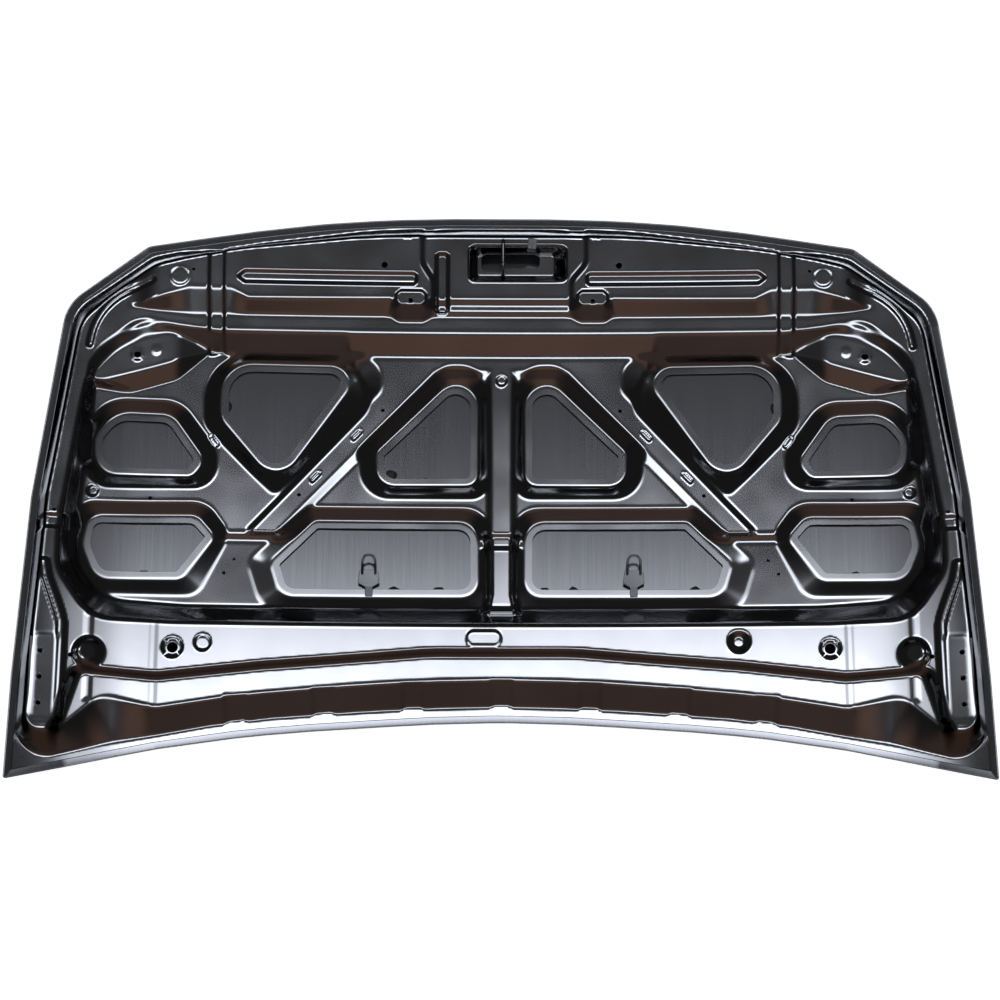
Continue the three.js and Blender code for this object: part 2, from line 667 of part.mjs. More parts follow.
function hingeNut() {
  const nut = new THREE.CylinderGeometry(NUT_WIDTH / 2, NUT_WIDTH / 2, NUT_HEIGHT, 6);
  nut.rotateX(Math.PI / 2);
  nut.translate(0, 0, -INNER_SHEET - 2 * CLEARANCE - PLATE - NUT_HEIGHT / 2);
  const bore = new THREE.CylinderGeometry(NUT_BORE / 2, NUT_BORE / 2, 50, 8);
  bore.rotateX(Math.PI / 2);
  return toSolid(nut).subtract(toSolid(bore));
}

// A dab of sealing compound between the skin and the flange of a cut-out.
function masticPad(x, y) {
  const dab = prism(circle(x, y, MASTIC_RADIUS));
  return layer(FLANGE - INNER_SHEET - CLEARANCE, SKIN + CLEARANCE).intersect(dab);
}

const bonnet = new THREE.Group();

function addPiece(name, geometry, look, parent = bonnet) {
  const piece = new THREE.Mesh(geometry, new THREE.MeshStandardMaterial(look));
  piece.name = name;
  parent.add(piece);
  return piece;
}

addPiece('outer_panel', toGeometry(outerPanel()), primer);
addPiece('inner_panel', toGeometry(innerPanel()), primer);
addPiece('latch_reinforcement', toGeometry(latchReinforcement()), plated);
addPiece('striker_loop', toGeometry(strikerLoop()), plated);
addPiece('catch_tab', toGeometry(catchTab()), plated);
[[-1, 'left'], [1, 'right']].forEach(([side, label]) => {
  addPiece(`hose_bracket_${label}`, toGeometry(hoseBracket(side)), primer);
  const frame = hingeFrame(side);
  bonnet.add(frame);
  addPiece(`hinge_reinforcement_${label}`, toGeometry(hingePlate()), plated, frame);
  HINGE_BOLTS.forEach((step, i) => {
    const nut = addPiece(`hinge_nut_${label}_${i + 1}`, toGeometry(hingeNut()), plated, frame);
    nut.position.y = step * HINGE_BOLT_PITCH;
  });
});
masticPlaces.forEach(([x, y], i) => {
  addPiece(`mastic_pad_${String(i + 1).padStart(2, '0')}`, toGeometry(masticPad(x, y)), mastic);
});

// The origin is under the middle of the whole bonnet, at its lowest point.
const whole = new THREE.Box3().setFromObject(bonnet);
bonnet.position.set(0, -(whole.min.y + whole.max.y) / 2, -whole.min.z);

export default bonnet;
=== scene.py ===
# A steel car bonnet, lying on its outer skin with the engine side up.
# Plan places are in millimetres: x to the right, y to the front edge. A level is a height
# straight up from the outer face of the skin. Meshes are turned into metres when they are made.

import math

import bmesh
import bpy
import numpy as np
from mathutils import Matrix, Vector, noise


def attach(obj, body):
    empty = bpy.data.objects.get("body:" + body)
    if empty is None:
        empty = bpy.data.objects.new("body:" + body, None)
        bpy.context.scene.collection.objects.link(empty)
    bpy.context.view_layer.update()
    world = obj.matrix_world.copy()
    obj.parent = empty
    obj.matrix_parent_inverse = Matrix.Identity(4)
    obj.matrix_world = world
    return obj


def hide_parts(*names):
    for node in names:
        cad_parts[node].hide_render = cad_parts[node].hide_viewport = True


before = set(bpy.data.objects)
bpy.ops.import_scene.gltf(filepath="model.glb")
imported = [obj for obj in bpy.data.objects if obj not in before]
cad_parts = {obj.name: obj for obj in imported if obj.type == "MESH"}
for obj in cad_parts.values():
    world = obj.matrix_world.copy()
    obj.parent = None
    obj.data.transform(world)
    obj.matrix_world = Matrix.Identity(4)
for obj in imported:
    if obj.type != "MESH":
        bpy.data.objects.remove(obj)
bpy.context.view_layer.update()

# The outer skin: one sheet of steel pressed to a crown, with its edge rolled round and folded
# flat over the inner panel as a hem. Two faces on the crown and a strip carried round the
# outline make it. An outline is a list of corners, each with x, y and its fillet's radius.
MM = 0.001
PLAN_SHIFT = -0.5686
CROWN_ACROSS, CROWN_ALONG, CROWN_OUTSIDE = 6500, 4500, 1000
CREASE_X, LOWEST_Y = 530, 20
SHEET = 0.8
SKIN_CELL, SKIN_HALF_X, SKIN_HALF_Y = 9.0, 747, 459
INNER_FACE_INSET = 11.9
FILLET_STEP = 0.13
REACH = 90.0
HALF_DIAGONAL = 0.7072


def crown(x, y):
    """Height of the skin's outer face: half the squared distance over the radius, across and
    along from its lowest place, and once more across for what lies outside the crease."""
    past = np.maximum(0, np.abs(x) - CREASE_X)
    across = x * x / (2 * CROWN_ACROSS) + past * past / (2 * CROWN_OUTSIDE)
    return across + (y - LOWEST_Y) ** 2 / (2 * CROWN_ALONG)


def crown_slope(x, y):
    """Rise of the crown per millimetre across and along: the same distances over the radii."""
    past = np.maximum(0, np.abs(x) - CREASE_X) * np.sign(x)
    return x / CROWN_ACROSS + past / CROWN_OUTSIDE, (y - LOWEST_Y) / CROWN_ALONG


def place(x, y, level):
    """Points in metres at plan places: the height is the crown plus the level."""
    z = crown(x, y) + level
    return np.stack([x, y + PLAN_SHIFT, z], axis=-1) * MM


def mirror(corners):
    """An outline turned left to right: x changes sign and the order is reversed."""
    return [(-x, y, radius) for x, y, radius in reversed(corners)]


def symmetric(side):
    """A whole outline from its right half, given from front to rear."""
    return [*side, *mirror(side)]


OUTLINE = symmetric([
    (120, 453.3, 1500), (237, 446.6, 1500), (338, 436.4, 1500), (468, 414.8, 1500),
    (556, 399, 25), (678, 300, 80), (732, -11, 3900), (740.6, -451.8, 4),
    (650, -429.5, 1500), (553, -406.5, 1500), (461, -388.5, 1500), (323, -372.5, 1500),
    (180, -362.3, 1500), (60, -355.3, 1500),
])
HEM_SECTION = [
    (1.8, 0.0), (0.9, 0.15), (0.3, 0.7), (0.0, 1.6), (0.3, 2.4), (0.9, 2.9), (2.0, 3.1),
    (10.8, 3.1), (11.6, 3.0), (12.0, 2.6), (12.0, 2.2),
]


def turns(corners):
    """Edge vectors and the signed angle turned at each corner."""
    at = np.array([c[:2] for c in corners], float)
    edge = np.roll(at, -1, 0) - at
    before = np.roll(edge, 1, 0)
    cross = before[:, 0] * edge[:, 1] - before[:, 1] * edge[:, 0]
    dot = (before * edge).sum(1)
    return at, edge, np.arctan2(cross, dot)


def rounded(corners, like=None):
    """Points of a closed outline of straight edges with filleted corners. Two fillets that
    meet on a short edge share it. Steps follow the angles of another outline, if given."""
    at, edge, turn = turns(corners)
    length = np.hypot(edge[:, 0], edge[:, 1])
    radius = np.array([c[2] for c in corners], float)
    reach = radius * np.tan(np.abs(turn) / 2)
    wanted = reach + np.roll(reach, -1)
    room = np.minimum(1, 0.98 * length / np.maximum(wanted, 1e-6))
    step_turn = turns(like)[2] if like else turn
    points = []
    for i in range(len(corners)):
        share = min(room[i], room[i - 1])
        ahead = edge[i - 1] / length[i - 1]
        side = 1 if turn[i] > 0 else -1
        normal = np.array([-ahead[1], ahead[0]]) * side
        start = at[i] - ahead * reach[i] * share
        r = radius[i] * share
        steps = max(1, math.ceil(abs(step_turn[i]) / FILLET_STEP)) if radius[i] > 0 else 0
        for k in range(steps + 1):
            swing = abs(turn[i]) * k / steps if steps else 0
            bent = start + normal * r * (1 - math.cos(swing))
            points.append(bent + ahead * r * math.sin(swing))
    return np.array(points)


def grow(corners, distance):
    """Corners moved outward by a distance, their fillets widened or tightened to match."""
    at, edge, turn = turns(corners)
    winding = np.sign(turn.sum())
    unit = edge / np.hypot(edge[:, 0], edge[:, 1])[:, None]
    before = np.roll(unit, 1, 0)
    normal = np.stack([before[:, 1] + unit[:, 1], -before[:, 0] - unit[:, 0]], 1)
    normal /= np.hypot(normal[:, 0], normal[:, 1])[:, None]
    along = (normal[:, 0] * before[:, 1] - normal[:, 1] * before[:, 0]) * winding
    moved = at + normal * (distance / along)[:, None]
    convex = np.where(turn * winding > 0, 1, -1)
    radius = [max(0.3, c[2] + s * distance) for c, s in zip(corners, convex)]
    return [(x, y, r) for (x, y), r in zip(moved, radius)]


def inside(grid, corners):
    """Distance into an outline at each place of a grid: the least distance to its edges,
    positive inside it, and held within REACH."""
    x, y = grid
    points = rounded(corners)
    low, high = points.min(0) - REACH, points.max(0) + REACH
    window = (x > low[0]) & (x < high[0]) & (y > low[1]) & (y < high[1])
    px, py = x[window], y[window]
    nearest = np.full(px.shape, REACH * REACH)
    odd = np.zeros(px.shape, bool)
    for (ax, ay), (bx, by) in zip(points, np.roll(points, -1, 0)):
        ex, ey = bx - ax, by - ay
        share = np.clip(((px - ax) * ex + (py - ay) * ey) / max(ex * ex + ey * ey, 1e-9), 0, 1)
        gap = (px - ax - share * ex) ** 2 + (py - ay - share * ey) ** 2
        nearest = np.minimum(nearest, gap)
        if ay != by:
            odd ^= ((ay > py) != (by > py)) & (px < ax + (py - ay) * ex / ey)
    distance = np.full(x.shape, -REACH)
    distance[window] = np.where(odd, 1, -1) * np.sqrt(nearest)
    return distance


def sheet_grid(x_lines, y_lines):
    """Plan places of a grid: every x line crossed with every y line."""
    return np.meshgrid(np.array(x_lines, float), np.array(y_lines, float))


def snap(x, y, keep, cell):
    """Moves the vertices within half a cell's diagonal of a trim line onto it, down the slope
    of keep, the distance on the kept side of the line. Gives the places and the faces that
    stay: those with no corner far outside, and with some corner off the line."""
    slope_y, slope_x = np.gradient(keep, cell, cell)
    size = np.maximum(np.hypot(slope_x, slope_y), 0.3)
    near = np.abs(keep) < HALF_DIAGONAL * cell
    shift = np.where(near, keep, 0) / size
    x = x - shift * slope_x / size
    y = y - shift * slope_y / size
    far_out = keep <= -HALF_DIAGONAL * cell

    def corners_of(mask):
        """A mask at the four corners of every face."""
        return mask[:-1, :-1], mask[:-1, 1:], mask[1:, 1:], mask[1:, :-1]

    stays = ~np.any(corners_of(far_out), axis=0) & ~np.all(corners_of(near), axis=0)
    return x, y, stays


def grid_faces(stays, columns, flip=False):
    """Four vertex numbers of each face that stays: row times columns plus column, and the
    next along and up, turned over for a face that looks down."""
    rows, cols = np.nonzero(stays)
    a = rows * columns + cols
    faces = np.stack([a, a + 1, a + columns + 1, a + columns], 1)
    return faces[:, ::-1] if flip else faces


def compact(points, faces, normals):
    """Drops the vertices that no face uses."""
    used, index = np.unique(faces, return_inverse=True)
    faces = index.reshape(faces.shape)
    return points[used], faces, normals[used]


def crowned_normals(x, y, slope_x, slope_y, sign=1.0):
    """Unit normals of a sheet on the crown: minus its slope and the crown's, and 1 upwards,
    over their length."""
    base_x, base_y = crown_slope(x, y)
    n = np.stack([-(slope_x + base_x), -(slope_y + base_y), np.ones_like(x)], axis=-1)
    return sign * n / np.linalg.norm(n, axis=-1, keepdims=True)


def outer_skin():
    """The skin's points, faces and normals: two faces at constant levels, trimmed at their
    insets, and the hem's section carried round the outline. A hem normal is the way along
    the strip crossed with the way up it."""
    x, y = sheet_grid(np.arange(-SKIN_HALF_X, SKIN_HALF_X + 1, SKIN_CELL),
                      np.arange(-SKIN_HALF_Y, SKIN_HALF_Y + 1, SKIN_CELL))
    points, faces, normals = [], [], []
    count = 0
    outside, within = (HEM_SECTION[0][0], 0.0, -1.0), (INNER_FACE_INSET, SHEET, 1.0)
    for inset, level, sign in (outside, within):
        keep = inside((x, y), OUTLINE) - inset
        sx, sy, stays = snap(x, y, keep, SKIN_CELL)
        sheet = place(sx, sy, level).reshape(-1, 3)
        normal = crowned_normals(sx, sy, 0, 0, sign).reshape(-1, 3)
        p, f, n = compact(sheet, grid_faces(stays, x.shape[1], sign < 0), normal)
        points.append(p)
        faces.append(f + count)
        normals.append(n)
        count += len(p)
    rings = []
    for inset, level in HEM_SECTION:
        ring = rounded(grow(OUTLINE, -inset), OUTLINE)
        rings.append(place(ring[:, 0], ring[:, 1], level))
    rings = np.array(rings)
    rows, columns = rings.shape[:2]
    index = np.arange(rows * columns).reshape(rows, columns) + count
    quads = np.stack([index[:-1], np.roll(index[:-1], -1, 1), np.roll(index[1:], -1, 1),
                      index[1:]], -1).reshape(-1, 4)
    winding = np.sign(turns(OUTLINE)[2].sum())
    if winding < 0:
        quads = quads[:, ::-1]
    along = np.roll(rings, -1, 1) - np.roll(rings, 1, 1)
    up = np.gradient(rings, axis=0)
    ring_normals = np.cross(along, up) * winding
    ring_normals /= np.maximum(np.linalg.norm(ring_normals, axis=-1, keepdims=True), 1e-12)
    points.append(rings.reshape(-1, 3))
    faces.append(quads)
    normals.append(ring_normals.reshape(-1, 3))
    return np.concatenate(points), np.concatenate(faces), np.concatenate(normals)


def new_object(name, points, faces, normals=None, smooth=True):
    """A piece at the origin from points in metres and faces, with its own normals if given."""
    mesh = bpy.data.meshes.new(name)
    mesh.from_pydata(points, [], faces)
    mesh.polygons.foreach_set("use_smooth", [smooth] * len(mesh.polygons))
    if normals is not None:
        mesh.normals_split_custom_set_from_vertices(normals)
    mesh.update()
    piece = bpy.data.objects.new(name, mesh)
    bpy.context.collection.objects.link(piece)
    return piece


def finish_piece(piece, material, slot, *nodes):
    """Gives a piece its material and its body, and hides the nodes it stands for. The slot is
    not used.
    """
    piece.data.materials.append(material)
    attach(piece, "root")
    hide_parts(*nodes)


def node_material(name):
    """A material with its nodes, its links and its main shader."""
    material = bpy.data.materials.new(name)
    material.use_nodes = True
    nodes, links = material.node_tree.nodes, material.node_tree.links
    return material, nodes, links, nodes["Principled BSDF"]


def add(nodes, kind, **inputs):
    """A new node with the given socket values and settings."""
    node = nodes.new(kind)
    for key, value in inputs.items():
        if key in node.inputs:
            node.inputs[key].default_value = value
        else:
            setattr(node, key, value)
    return node


def ramp_node(nodes, stops):
    """A ramp that runs straight from colour to colour between its stops."""
    node = nodes.new("ShaderNodeValToRGB")
    band = node.color_ramp
    while len(band.elements) < len(stops):
        band.elements.new(0.5)
    for element, (position, colour) in zip(band.elements, stops):
        element.position = position
        element.color = (*colour, 1)
    return node


def brushed_skin():
    """Primed steel with the fine streaks left by rolling, running from front to rear: a noise
    squeezed across the car drives the tone, the roughness and a faint relief."""
    material, nodes, links, shader = node_material("skin_primer")
    where = nodes.new("ShaderNodeTexCoord")
    stretch = nodes.new("ShaderNodeMapping")
    stretch.inputs["Scale"].default_value = (420, 5, 5)
    links.new(where.outputs["Object"], stretch.inputs["Vector"])
    streak = add(nodes, "ShaderNodeTexNoise", Scale=1.0, Detail=6.0, Roughness=0.7)
    links.new(stretch.outputs["Vector"], streak.inputs["Vector"])
    tone = ramp_node(nodes, [(0.3, (0.195, 0.2, 0.208)), (0.7, (0.225, 0.23, 0.24))])
    links.new(streak.outputs["Fac"], tone.inputs["Fac"])
    links.new(tone.outputs["Color"], shader.inputs["Base Color"])
    sheen = nodes.new("ShaderNodeMapRange")
    sheen.inputs["To Min"].default_value = 0.11
    sheen.inputs["To Max"].default_value = 0.15
    links.new(streak.outputs["Fac"], sheen.inputs["Value"])
    links.new(sheen.outputs["Result"], shader.inputs["Roughness"])
    bump = add(nodes, "ShaderNodeBump", Strength=0.05, Distance=0.0002)
    links.new(streak.outputs["Fac"], bump.inputs["Height"])
    links.new(bump.outputs["Normal"], shader.inputs["Normal"])
    shader.inputs["Metallic"].default_value = 0.9
    return material


skin = new_object("outer_skin", *outer_skin())
finish_piece(skin, brushed_skin(), "skin_primer", "outer_panel")

# The inner panel: one pressing of dip-coated steel with a raised ring, ribs and dished
# cut-outs, held by the skin's hem. It is built as levels on a grid, where every wall runs from
# a foot outline to a brow outline. First come its grid, levels, widths and the shared outlines.
CELL, PANEL_HALF_X, PANEL_HALF_Y = 2.5, 745, 460
HEM_SEAT, FLANGE, WEB_REAR = 1.9, 7.0, 14
RIB_TOP, STRIP_TOP, BUMP_TOP, RING_TOP = 26, 32, 37, 46
BEAM_RISE, BEAM_FADE_X, BEAM_FADE_WIDTH = 16, 525, 60
WEB_STEP, WEB_STEP_Y, WEB_STEP_WIDTH = 7, -74, 12
WEB_TILT, WEB_TILT_Y = 0.018, -130
LATCH_FLOOR, WINDOW_EDGE = 38, 34.0
PANEL_INSET, FLANGE_WIDTH, HOLE_DEPTH = 1.2, 13, 2.0
SEAT_X, SEAT_Y, SEAT_TOP = 690.0, -300.0, 47.3
BOSS_X, BOSS_Y, BOSS_TOP, BOSS_TILT = 620, -260, 56, 0.24
FRONT_MESH_Y = 120
RING_FOOT = symmetric([
    (120, 436.6, 1500), (300, 421.5, 1500), (440, 394.5, 500), (509, 388.5, 60),
    (549, 379, 40), (663, 290, 70), (721, -15, 3900), (728, -428, 62), (668, -411, 60),
    (602, -394, 60), (521, -378, 60), (396, -353, 800), (200, -337.5, 1500), (60, -330.5, 1500),
])
RING_BROW = symmetric([
    (141, 407.3, 1500), (316, 397.3, 1500), (460, 373.3, 600), (541, 350.5, 120),
    (579, 327, 300), (613, 298, 150), (650, 262, 80), (702, -12, 3900), (709, -380, 25),
    (664, -380, 25), (602, -321, 40), (521, -340, 30), (396, -319, 800), (200, -299.5, 1500),
    (60, -293, 1500),
])
WELL_FOOT = symmetric([
    (440, 220, 20), (475, 239, 30), (517, 253, 30), (559, 241, 60), (597, 221, 60),
    (631, 185, 30), (636, 95, 300),
    (650, -50, 150), (648, -120, 60), (600, -172, 60), (490, -179, 200),
])
WELL_BROW = symmetric([
    (470, 255, 120), (562, 270, 40), (632, 212, 60), (650, 100, 300),
    (672, -60, 150), (672, -130, 60), (622, -205, 60), (500, -209, 200),
])
BEAM_FOOT = symmetric([
    (900, 600, 0), (900, 288, 0), (556, 287, 10), (478, 277, 10), (440, 278, 10),
    (393, 279, 10), (172, 279, 6), (160, 271, 6), (124, 271, 6), (110, 279, 6),
])
BEAM_BROW = symmetric([
    (900, 600, 0), (900, 291, 0), (556, 291, 10), (484, 318, 10), (420, 318, 10),
    (394, 303, 10), (172, 306, 6), (160, 292, 6), (122, 292, 6), (110, 306, 6),
])
A_RIB_FOOT = symmetric([
    (246, 262, 5), (244, 222, 20), (206, 148, 40), (400, -64, 5), (333, -64, 5),
    (90, 190, 10), (24, 190, 5), (24, -160, 20), (34, -190, 0),
])
A_RIB_BROW = symmetric([
    (236, 262, 5), (234, 222, 20), (196, 146, 40), (388, -64, 5), (350, -64, 5),
    (104, 202, 10), (14, 202, 5), (14, -160, 20), (20, -190, 0),
])
STRIP_FOOT = symmetric([
    (110, -256, 300), (365, -278, 300), (464, -290, 60), (520, -297, 60),
    (634, -288, 15), (664, -390, 0), (665, -520, 0),
])
STRIP_BROW = symmetric([
    (110, -248, 300), (365, -270, 300), (464, -282, 60), (520, -289, 60),
    (646, -280, 20), (678, -390, 0), (679, -520, 0),
])

# The five cut-outs of a side, each with its foot, its brow and how its wall bulges.
POCKETS = [
    ([(438, 214, 50), (213, 212, 30), (348, 15, 38), (439, 124, 38)],
     [(463, 224, 75), (186, 224, 40), (186, 168, 25), (345, 3, 18), (356, 3, 18),
      (461, 108, 40)]),
    ([(70, 197, 38), (35, 158, 38), (35, 18, 22), (195, 17, 30), (196, 73, 18)],
     [(88, 211, 30), (48, 211, 35), (20, 180, 40), (20, -4, 26), (214, -4, 45),
      (224, 72, 15)]),
    ([(290, -37, 20), (35, -37, 34), (34, -159, 30), (340, -160, 30), (357, -105, 18)],
     [(295, -20, 16), (21, -20, 34), (21, -182, 30), (368, -182, 40), (392, -105, 25)]),
    ([(600, 130, 50), (512, 128, 35), (460, 55, 22), (480, 27, 18), (630, 27, 38),
      (632, 88, 38)],
     [(612, 147, 60), (498, 147, 50), (440, 70, 40), (440, 10, 35), (640, 6, 38),
      (644, 90, 40)]),
    ([(637, -35, 28), (470, -32, 28), (440, -66, 15), (492, -136, 20), (622, -138, 35),
      (645, -85, 35)],
     [(652, -18, 36), (454, -14, 40), (418, -64, 30), (464, -160, 30), (634, -160, 50),
      (658, -88, 42)]),
]
POCKET_BULGE = (1.0, 1.2, 1.0, 1.0, 1.0)
BUMP = [(660, 200, 5), (600, 248, 40), (559, 266, 40), (517, 276, 20), (466, 258, 20),
        (440, 226, 10), (457, 202, 30), (469, 175, 30), (487, 155, 30), (514, 142, 30),
        (569, 152, 20), (607, 160, 20), (645, 167, 5)]
BUMP_RIDGE = ((627, 168), (523, 201))
CORNER_BEAD = [(540, 332, 3), (592, 311, 170), (632, 272, 170), (641, 221, 3),
               (633, 221, 3), (625, 268, 160), (588, 304, 160), (538, 325, 3)]
HINGE_BEAD = [(656, -365, 6), (668, -365, 6), (668, -217, 20), (674, -198, 60),
              (684, -170, 60), (693, -145, 40), (697, -118, 4), (686, -118, 4),
              (681, -145, 60), (669, -175, 60), (660, -200, 60), (656, -217, 20)]
LATCH_WINDOW = [(-32, 357, 8), (0, 357, 4), (7, 363, 4), (60, 363, 8), (60, 387, 7),
                (-32, 386, 7)]


def rectangle(x0, y0, x1, y1, radius):
    """The outline of a rectangle whose corners have one radius."""
    return [(x0, y0, radius), (x1, y0, radius), (x1, y1, radius), (x0, y1, radius)]


def circle(x, y, radius):
    """A circle as a square whose fillets meet."""
    return rectangle(x - radius, y - radius, x + radius, y + radius, radius * 0.999)


def slot(x, y, heading, long, wide):
    """A lozenge outline round a place, turned to a heading in radians."""
    c, s = math.cos(heading), math.sin(heading)
    return [(x + c * u - s * v, y + s * u + c * v, wide * 0.48)
            for u, v in ((-long / 2, -wide / 2), (long / 2, -wide / 2),
                         (long / 2, wide / 2), (-long / 2, wide / 2))]


# Marks pressed into both sides: outline, depth and width of the edge. A negative depth rises.
SHARED_MARKS = [
    # the groove across the beam, the long bead, the corner's bead and disc, the hinge's bead
    (rectangle(432, 222, 455, 430, 0), 3, 7),
    ([(133, 328, 6), (400, 328, 4), (411, 336, 2), (400, 345, 4), (133, 345, 6)], 4, 7),
    (CORNER_BEAD, 2.5, 6),
    (circle(500, 334, 14), 1.2, 5),
    (HINGE_BEAD, -3.5, 6),
    # creases beside the rear gusset, the notch in the ring's side and a dimple
    (rectangle(521, -345, 531, -205, 0), -0.7, 9),
    (rectangle(617, -330, 627, -200, 0), -0.7, 9),
    (rectangle(662, -67, 760, -48, 3), 4, 6),
    (circle(628, -2, 8), 2.5, 5),
    # three troughs across the rear edge, and the seats of the holes
    (rectangle(387, -480, 417, -322, 0), 2.5, 12),
    (rectangle(255, -480, 285, -310, 0), 2.5, 12),
    (rectangle(120, -480, 150, -302, 0), 2.5, 12),
    (circle(497, -249, 15), 2.5, 5),
    (circle(565, 214, 9), 1.5, 4),
    (circle(536, 222, 7), 0.5, 4),
    # the raised tab behind the beam, and drain slots along the ribs
    ([(118, 300, 2), (125, 293, 2), (158, 293, 2), (165, 300, 2), (165, 311, 2),
      (158, 317, 2), (125, 317, 2), (118, 311, 2)], -2.5, 4),
    (slot(225, 95, -0.82, 21, 7), 1.6, 4),
    (slot(288, 27, -0.82, 21, 7), 1.6, 4),
    (slot(445, 83, 0.95, 21, 7), 1.6, 4),
]
SINGLE_MARKS = [
    # the sunk flat around the latch, the upright bead on its left, a groove and a dimple on
    # the middle rib, and the middle trough of the rear edge
    ([(-124, 470, 0), (-124, 362, 25), (-107, 335, 20), (-107, 292, 4), (109, 292, 4),
      (109, 335, 20), (132, 362, 25), (132, 470, 0)], 4, 14),
    (rectangle(-102, 286, -84, 378, 5), 5, 7),
    (rectangle(-30, -84, 30, -64, 4), 4, 8),
    (rectangle(-15, -480, 15, -296, 0), 2.5, 12),
    (circle(0, 184, 8), 2, 5),
    # the rear strip's plain disc, its conical dimple and its bare oval pad
    (circle(-452, -241, 12), 2, 5),
    (circle(360, -237, 13), 7, 14),
    (rectangle(-53, -243, -1, -219, 11), -1.5, 5),
]
# Holes of both sides: x, y and radius.
HOLES = [
    (183, 358, 5), (147, 404, 2.6), (142, 301, 3.5), (479, 345, 2.6), (565, 214, 5.5),
    (185, 135, 3), (313, -2, 3), (541, -10, 3), (411, -103, 2.6), (426, -125, 2.6),
    (647, -265, 3.5), (714, -417, 2.6), (497, -249, 8.5), (680, -40, 2.6),
    (690, -260, 4.5), (690, -300, 4.5), (690, -340, 4.5),
]


def smooth_step(share):
    """0 up to 0 and 1 from 1 on, and between them three squares of the share less two cubes."""
    share = np.clip(share, 0, 1)
    return share * share * (3 - 2 * share)


def ease(share, start, end):
    """A straight ramp from 0 to 1 whose two bends are parabolas that reach start and end
    shares to each side of them."""
    low = np.clip((share + start) / (2 * start), 0, 1) ** 2 * start
    ramp = np.where(share > start, share, low)
    high = 1 - np.clip((1 + end - share) / (2 * end), 0, 1) ** 2 * end
    return np.where(share > 1 - end, high, ramp)


def wall(grid, outer, inner, soft, soft_inner=None):
    """Share of the way from an outer outline to an inner one: distance into the first over
    the width between them. Its ends are filleted, soft millimetres to each side of an
    outline, or soft_inner at the inner one."""
    out = inside(grid, outer)
    width = np.maximum(out - inside(grid, inner), 2.0)
    start = np.clip(soft / width, 0.02, 0.5)
    end = np.clip((soft_inner or soft) / width, 0.02, 0.5)
    return ease(out / width, start, end)


def dent(grid, corners, width):
    """1 within an outline and 0 outside it, changing smoothly over a width at its edge."""
    return smooth_step(inside(grid, corners) / width + 0.5)


def blend(a, b, share):
    """The way from a to b by a share: a plus the share of their difference."""
    return a + (b - a) * share


def soft_ramp(distance, width):
    """Zero below zero and the distance above it, with a parabola where they meet."""
    low = np.clip(distance + width, 0, 2 * width) ** 2 / (4 * width)
    return np.where(distance > width, distance, low)


def press(grid, level, marks):
    """Sinks each mark into the levels by its depth times its dent."""
    for corners, depth, width in marks:
        level = level - depth * dent(grid, corners, width)
    return level


def corner_bump(grid, web):
    """A raised flat in each front corner: level as far as its ridge, falling away steeply
    behind the ridge and gently towards the middle, with its edges eased into the web."""
    x, y = grid
    (x0, y0), (x1, y1) = BUMP_RIDGE
    length = math.hypot(x1 - x0, y1 - y0)
    behind = ((y - y0) * (x1 - x0) - (x - x0) * (y1 - y0)) / length
    flat = BUMP_TOP - 0.3 * soft_ramp(505 - x, 8)
    flat = flat - 0.55 * soft_ramp(behind, 4)
    return blend(web, np.maximum(web, flat), wall(grid, BUMP, grow(BUMP, -7), 3))


def half_levels(grid):
    """Levels of the features that both sides share. A raised ring has a taller front beam that
    fades sideways and a lower rear strip. In the well behind it the web falls to the rear by
    a step and a tilt, and carries ribs, bumps and cut-outs. Walls blend level into level."""
    x, y = grid
    fade = 1 - smooth_step((np.abs(x) - BEAM_FADE_X) / BEAM_FADE_WIDTH)
    top = RING_TOP + BEAM_RISE * fade * wall(grid, BEAM_FOOT, BEAM_BROW, 4)
    top = blend(top, STRIP_TOP, wall(grid, STRIP_BROW, STRIP_FOOT, 3.5))
    web = WEB_REAR + WEB_STEP * ease((y - WEB_STEP_Y) / WEB_STEP_WIDTH, 0.4, 0.4)
    web = web + WEB_TILT * np.clip(y - WEB_TILT_Y, -60, 56)
    web = blend(web, RIB_TOP, wall(grid, A_RIB_FOOT, A_RIB_BROW, 3))
    web = corner_bump(grid, web)
    level = blend(top, web, wall(grid, WELL_BROW, WELL_FOOT, 5))
    for (foot, brow), bulge in zip(POCKETS, POCKET_BULGE):
        level = blend(level, FLANGE, wall(grid, brow, foot, 4.5, 3) ** bulge)
    level = blend(HEM_SEAT, level, wall(grid, RING_FOOT, RING_BROW, 2.5, 4))
    level = press(grid, level, SHARED_MARKS)
    boss = wall(grid, circle(BOSS_X, BOSS_Y, 24), circle(BOSS_X, BOSS_Y, 14), 3)
    level = blend(level, np.maximum(level, BOSS_TOP + BOSS_TILT * (x - BOSS_X)), boss)
    return np.maximum(level, HEM_SEAT)


def one_sided(grid, level):
    """Adds the latch's pocket, a wall down to its floor, and the marks that have no twin."""
    pocket = wall(grid, rectangle(-51, 335, 102, 391, 8), rectangle(-40, 348, 84, 386, 6), 2.5)
    level = press(grid, blend(level, LATCH_FLOOR, pocket), SINGLE_MARKS)
    return np.maximum(level, HEM_SEAT)


def hinge_seats(grid, level):
    """A flat seat in each rear corner: the plane that touches the crown below its middle,
    raised to the seat's height, takes over within the seat's outline."""
    x, y = grid
    for side in (-1, 1):
        cx, cy = side * SEAT_X, SEAT_Y
        slope_x, slope_y = crown_slope(np.float64(cx), cy)
        plane = crown(cx, cy) + SEAT_TOP + slope_x * (x - cx) + slope_y * (y - cy)
        seat = dent(grid, rectangle(cx - (24 if side > 0 else 11), cy - 66,
                                    cx + (11 if side > 0 else 24), cy + 66, 8), 10)
        level = blend(level, plane - crown(x, y), seat)
    return level


